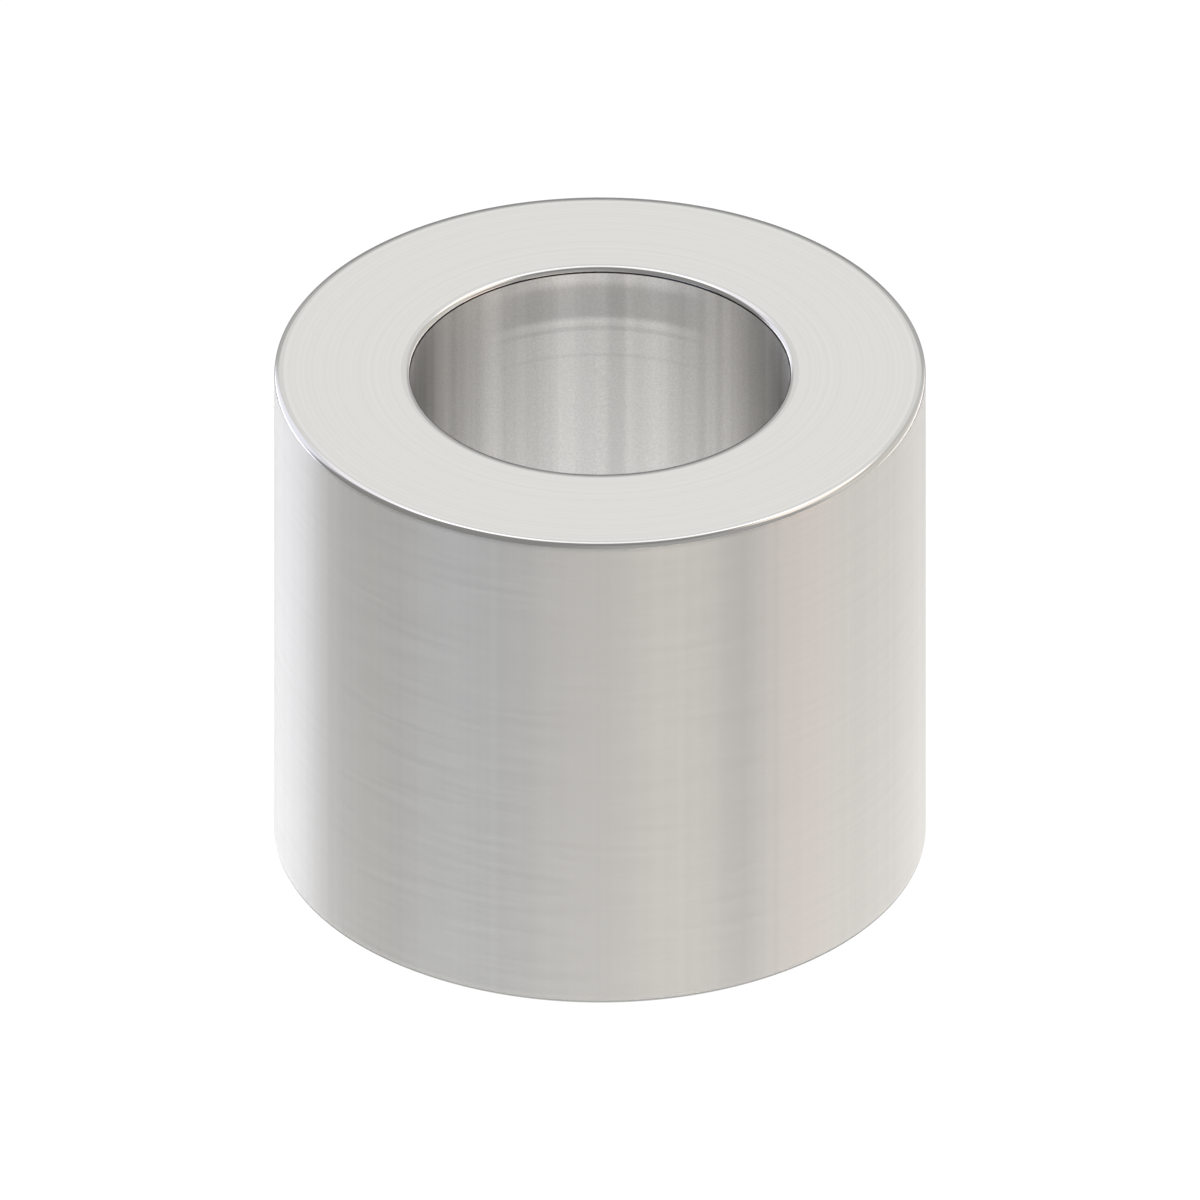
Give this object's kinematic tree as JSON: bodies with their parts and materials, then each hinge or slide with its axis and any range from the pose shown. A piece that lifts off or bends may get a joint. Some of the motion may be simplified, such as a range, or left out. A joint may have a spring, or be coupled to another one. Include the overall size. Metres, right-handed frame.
{
  "type": "spacer sleeve",
  "caption": "Short round metal sleeve with a plain through bore, flat square ends and lightly rounded edges. It goes over a screw and holds two clamped parts at a set distance.",
  "frame": {"origin": "centre of the lower end face, on the bore axis", "axes": "+Z along the bore axis, from the lower end face to the upper one. The part is round, so X and Y are free"},
  "size_m": [0.018, 0.018, 0.015],
  "materials": {
    "stainless_steel": "fine turned, satin"
  },
  "bodies": {
    "root": {"sleeve": "stainless_steel"}
  },
  "joints": []
}
